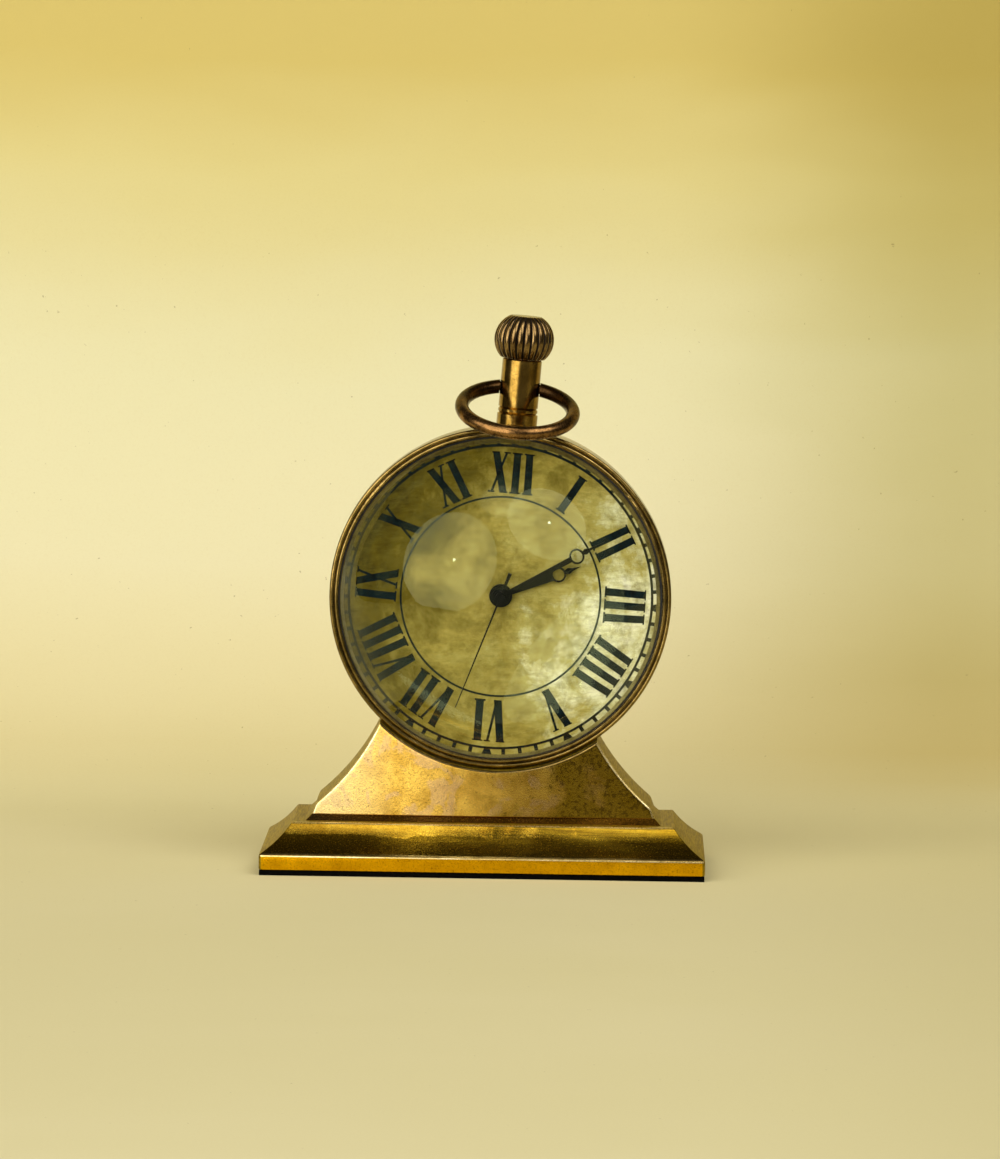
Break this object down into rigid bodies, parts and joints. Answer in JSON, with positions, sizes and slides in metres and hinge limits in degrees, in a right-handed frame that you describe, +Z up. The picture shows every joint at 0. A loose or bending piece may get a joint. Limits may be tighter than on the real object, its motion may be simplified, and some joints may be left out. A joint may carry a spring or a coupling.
{
  "type": "desk clock",
  "caption": "Desk clock with a domed magnifying lens over a round dial, a fluted crown and hinged bail on top, and a stepped rectangular brass base.",
  "frame": {"origin": "middle of the felt pad's underside, where the clock stands", "axes": "+Z up, +X to the viewer's right, the dial faces -Y"},
  "size_m": [0.08, 0.0445, 0.0998],
  "materials": {
    "black_felt": "matt wool felt",
    "aged_brass_base": "cast and polished, lacquered, with tarnish",
    "aged_brass_case": "turned, aged",
    "aged_brass_crown": "milled flutes, aged",
    "brown_bronze": "drawn wire, brown patina",
    "rehaut_brass": "turned, matt",
    "plate_brass": "stamped, satin",
    "wheel_brass": "cut and plated",
    "wheel_plastic": "moulded acetal",
    "holder_plastic": "moulded",
    "printed_dial": "printed parchment colour, matt",
    "lens_glass": "polished",
    "black_rubber": "moulded, matt",
    "black_hands": "black gloss lacquer",
    "steel": "bright",
    "magnet": "sintered magnet",
    "stator_metal": "annealed sheet",
    "coil_copper": "enamelled wire",
    "board_laminate": "green laminate",
    "chip_resin": "black resin",
    "fibreboard": "pressed, bare"
  },
  "bodies": {
    "root": {"felt_pad": "black_felt", "base_casting": "aged_brass_base", "base_board": "fibreboard", "board_screws": "steel", "fixing_screw": "steel", "saddle_washer": "aged_brass_case", "case_band": "aged_brass_case", "bezel": "aged_brass_case", "lens_gasket": "black_rubber", "dome_lens": "lens_glass", "rehaut_ring": "rehaut_brass", "dial_plate": "printed_dial", "back_cover": "aged_brass_case", "cover_seal": "black_rubber", "neck_tube": "aged_brass_case", "stem_bush": "black_rubber", "main_plate": "plate_brass", "train_bridge": "plate_brass", "bridge_screws": "steel", "stator": "stator_metal", "coil_core": "stator_metal", "coil": "coil_copper", "circuit_board": "board_laminate", "quartz_crystal": "steel", "clock_chip": "chip_resin", "button_cell": "steel", "battery_clamp": "steel", "movement_holder": "holder_plastic"},
    "bail": {"bail": "brown_bronze"},
    "crown_shaft": {"setting_lever": "steel"},
    "crown_knob": {"crown": "aged_brass_crown", "winding_stem": "steel", "setting_pinion": "steel"},
    "minute_arbor": {"cannon_pinion": "steel", "minute_hand": "black_hands"},
    "minute_train_wheel": {"minute_wheel": "wheel_brass"},
    "hour_arbor": {"hour_wheel": "wheel_brass", "hour_hand": "black_hands"},
    "setting_idler": {"setting_wheel": "steel"},
    "seconds_arbor": {"seconds_wheel": "wheel_plastic", "second_hand": "black_hands"},
    "third_arbor": {"third_wheel": "wheel_plastic"},
    "centre_arbor": {"centre_wheel": "wheel_brass"},
    "fifth_arbor": {"fifth_wheel": "wheel_plastic"},
    "rotor_arbor": {"stepper_rotor": "magnet"}
  },
  "joints": [
    {"name": "bail_swing", "type": "hinge", "parent": "root", "child": "bail", "pos_m": [0.00537, 0.0035, 0.08669], "axis": [-0.9971, 0, 0.0767], "range_deg": [-8, 225]},
    {"name": "crown_pull", "type": "slide", "parent": "root", "child": "crown_shaft", "axis": [0.0767, 0, 0.9971], "range_m": [0, 0.001]},
    {"name": "crown_turn", "type": "hinge", "parent": "crown_shaft", "child": "crown_knob", "pos_m": [0.0025, 0.0035, 0.0494], "axis": [0.0767, 0, 0.9971], "continuous": true},
    {"name": "minute_turn", "type": "hinge", "parent": "root", "child": "minute_arbor", "pos_m": [0.0025, 0, 0.0494], "axis": [0, -1, 0], "continuous": true},
    {"name": "minute_wheel_turn", "type": "hinge", "parent": "root", "child": "minute_train_wheel", "pos_m": [0.00287, 0, 0.05419], "axis": [0, -1, 0], "continuous": true},
    {"name": "hour_turn", "type": "hinge", "parent": "root", "child": "hour_arbor", "pos_m": [0.0025, 0, 0.0494], "axis": [0, -1, 0], "continuous": true},
    {"name": "setting_wheel_turn", "type": "hinge", "parent": "root", "child": "setting_idler", "pos_m": [0.00328, 0, 0.05957], "axis": [0, -1, 0], "continuous": true},
    {"name": "seconds_turn", "type": "hinge", "parent": "root", "child": "seconds_arbor", "pos_m": [0.0025, 0, 0.0494], "axis": [0, -1, 0], "continuous": true},
    {"name": "third_wheel_turn", "type": "hinge", "parent": "root", "child": "third_arbor", "pos_m": [0.00198, 0, 0.04262], "axis": [0, -1, 0], "continuous": true},
    {"name": "centre_wheel_turn", "type": "hinge", "parent": "root", "child": "centre_arbor", "pos_m": [0.0025, 0, 0.0494], "axis": [0, -1, 0], "continuous": true},
    {"name": "fifth_wheel_turn", "type": "hinge", "parent": "root", "child": "fifth_arbor", "pos_m": [-0.00397, 0, 0.04759], "axis": [0, -1, 0], "continuous": true},
    {"name": "rotor_turn", "type": "hinge", "parent": "root", "child": "rotor_arbor", "pos_m": [-0.00802, 0, 0.04646], "axis": [0, -1, 0], "continuous": true}
  ],
  "couplings": [
    {"joint": "minute_wheel_turn", "follows": "minute_turn", "ratio": -0.33333},
    {"joint": "hour_turn", "follows": "minute_turn", "ratio": 0.083333},
    {"joint": "setting_wheel_turn", "follows": "minute_turn", "ratio": 0.66667},
    {"joint": "third_wheel_turn", "follows": "seconds_turn", "ratio": -0.13333},
    {"joint": "centre_wheel_turn", "follows": "seconds_turn", "ratio": 0.016667},
    {"joint": "fifth_wheel_turn", "follows": "seconds_turn", "ratio": -5},
    {"joint": "rotor_turn", "follows": "seconds_turn", "ratio": 30}
  ]
}
